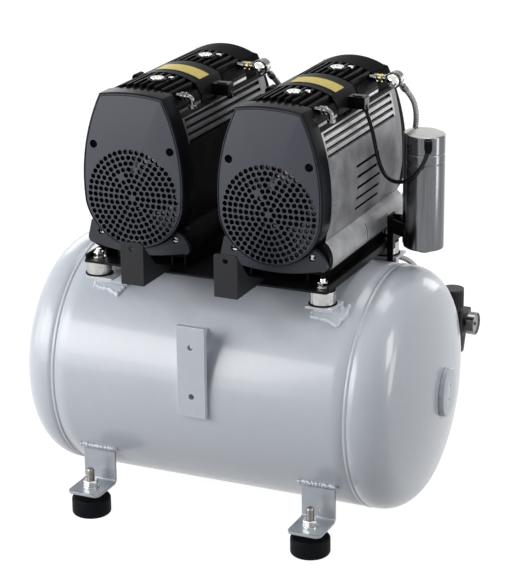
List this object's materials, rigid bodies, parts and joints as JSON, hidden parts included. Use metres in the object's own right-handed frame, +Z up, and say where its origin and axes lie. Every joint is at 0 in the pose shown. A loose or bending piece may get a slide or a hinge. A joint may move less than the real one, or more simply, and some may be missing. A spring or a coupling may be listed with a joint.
{
  "type": "air compressor",
  "caption": "Oil-free air compressor: two twin-cylinder pumps with round grilles on a base plate above a horizontal air receiver with welded legs and rubber feet.",
  "frame": {"origin": "middle of the footprint, on the floor", "axes": "+X along the receiver towards the capacitors, -Y towards the pumps' grilles, +Z up"},
  "size_m": [0.552, 0.39, 0.5605],
  "materials": {
    "tank_paint": "gloss",
    "zinc": "satin",
    "bright_metal": "polished",
    "rubber": "matte",
    "black_paint": "satin",
    "black_cast": "satin",
    "cast_aluminium": "sand cast",
    "black_plastic": "matte",
    "clear_plastic": "gloss",
    "can_aluminium": "satin",
    "steel": "ground",
    "brass": "satin",
    "cable_black": "matte",
    "hose_black": "satin"
  },
  "bodies": {
    "machine": {"tank_shell": "tank_paint", "tank_heads": "tank_paint", "inspection_plugs": "tank_paint", "tank_legs": "zinc", "rubber_feet": "rubber", "foot_studs": "zinc", "front_strap": "tank_paint", "isolator_brackets": "tank_paint", "isolators": "rubber", "isolator_bolts": "zinc", "base_plate": "black_paint", "front_tabs": "black_paint", "mount_rails": "black_paint", "bearing_brackets": "cast_aluminium", "bearings": "steel", "stators": "steel", "cylinders": "can_aluminium", "valve_plates": "steel", "head_plugs": "bright_metal", "cover_screws": "zinc", "terminal_boxes": "black_plastic", "air_fittings": "bright_metal", "transfer_pipes": "black_cast", "capacitors": "can_aluminium", "capacitor_bracket": "black_paint", "air_block": "bright_metal", "pressure_switch": "black_plastic", "regulator_body": "black_plastic", "regulator_bowl": "clear_plastic", "pressure_gauge": "black_plastic", "relief_valve": "brass", "drain_valve": "brass", "capacitor_cable": "cable_black", "right_hose": "hose_black", "left_hose": "hose_black", "left_housing": "cast_aluminium", "left_front_cover": "black_plastic", "left_rear_cover": "black_plastic", "left_cylinder_heads": "black_cast", "left_saddle": "black_cast", "right_housing": "cast_aluminium", "right_front_cover": "black_plastic", "right_rear_cover": "black_plastic", "right_cylinder_heads": "black_cast", "right_saddle": "black_cast"},
    "left_rotor": {"left_shaft": "steel", "left_fans": "black_plastic"},
    "left_front_piston_body": {"left_front_piston": "can_aluminium"},
    "left_rear_piston_body": {"left_rear_piston": "can_aluminium"},
    "right_rotor": {"right_shaft": "steel", "right_fans": "black_plastic"},
    "right_front_piston_body": {"right_front_piston": "can_aluminium"},
    "right_rear_piston_body": {"right_rear_piston": "can_aluminium"},
    "switch_knob_body": {"switch_knob": "black_plastic"},
    "regulator_knob_body": {"regulator_knob": "black_plastic"},
    "needle_body": {"gauge_needle": "black_paint"},
    "relief_pin_body": {"relief_pin": "zinc"},
    "drain_lever_body": {"drain_lever": "zinc"}
  },
  "joints": [
    {"name": "left_shaft_spin", "type": "hinge", "parent": "machine", "child": "left_rotor", "pos_m": [-0.091, -0.005, 0.42], "axis": [0, 1, 0], "continuous": true},
    {"name": "left_front_piston_stroke", "type": "slide", "parent": "machine", "child": "left_front_piston_body", "axis": [0, 0, 1], "range_m": [-0.007, 0.007]},
    {"name": "left_rear_piston_stroke", "type": "slide", "parent": "machine", "child": "left_rear_piston_body", "axis": [0, 0, 1], "range_m": [-0.007, 0.007]},
    {"name": "right_shaft_spin", "type": "hinge", "parent": "machine", "child": "right_rotor", "pos_m": [0.091, -0.005, 0.42], "axis": [0, 1, 0], "continuous": true},
    {"name": "right_front_piston_stroke", "type": "slide", "parent": "machine", "child": "right_front_piston_body", "axis": [0, 0, 1], "range_m": [-0.007, 0.007]},
    {"name": "right_rear_piston_stroke", "type": "slide", "parent": "machine", "child": "right_rear_piston_body", "axis": [0, 0, 1], "range_m": [-0.007, 0.007]},
    {"name": "switch_turn", "type": "hinge", "parent": "machine", "child": "switch_knob_body", "pos_m": [0.085, 0.175, 0.316], "axis": [0, 0, 1], "range_deg": [0, 90]},
    {"name": "regulator_turn", "type": "hinge", "parent": "machine", "child": "regulator_knob_body", "pos_m": [0.216, 0.175, 0.222], "axis": [0, 0, 1], "range_deg": [0, 900]},
    {"name": "needle_swing", "type": "hinge", "parent": "machine", "child": "needle_body", "pos_m": [0.2478, 0.175, 0.203], "axis": [-1, 0, 0], "range_deg": [0, 240]},
    {"name": "relief_pull", "type": "slide", "parent": "machine", "child": "relief_pin_body", "axis": [-1, 0, 0], "range_m": [0, 0.002]},
    {"name": "drain_turn", "type": "hinge", "parent": "machine", "child": "drain_lever_body", "pos_m": [0.06, 0.043, 0.018], "axis": [0, 0, 1], "range_deg": [0, 90]}
  ]
}
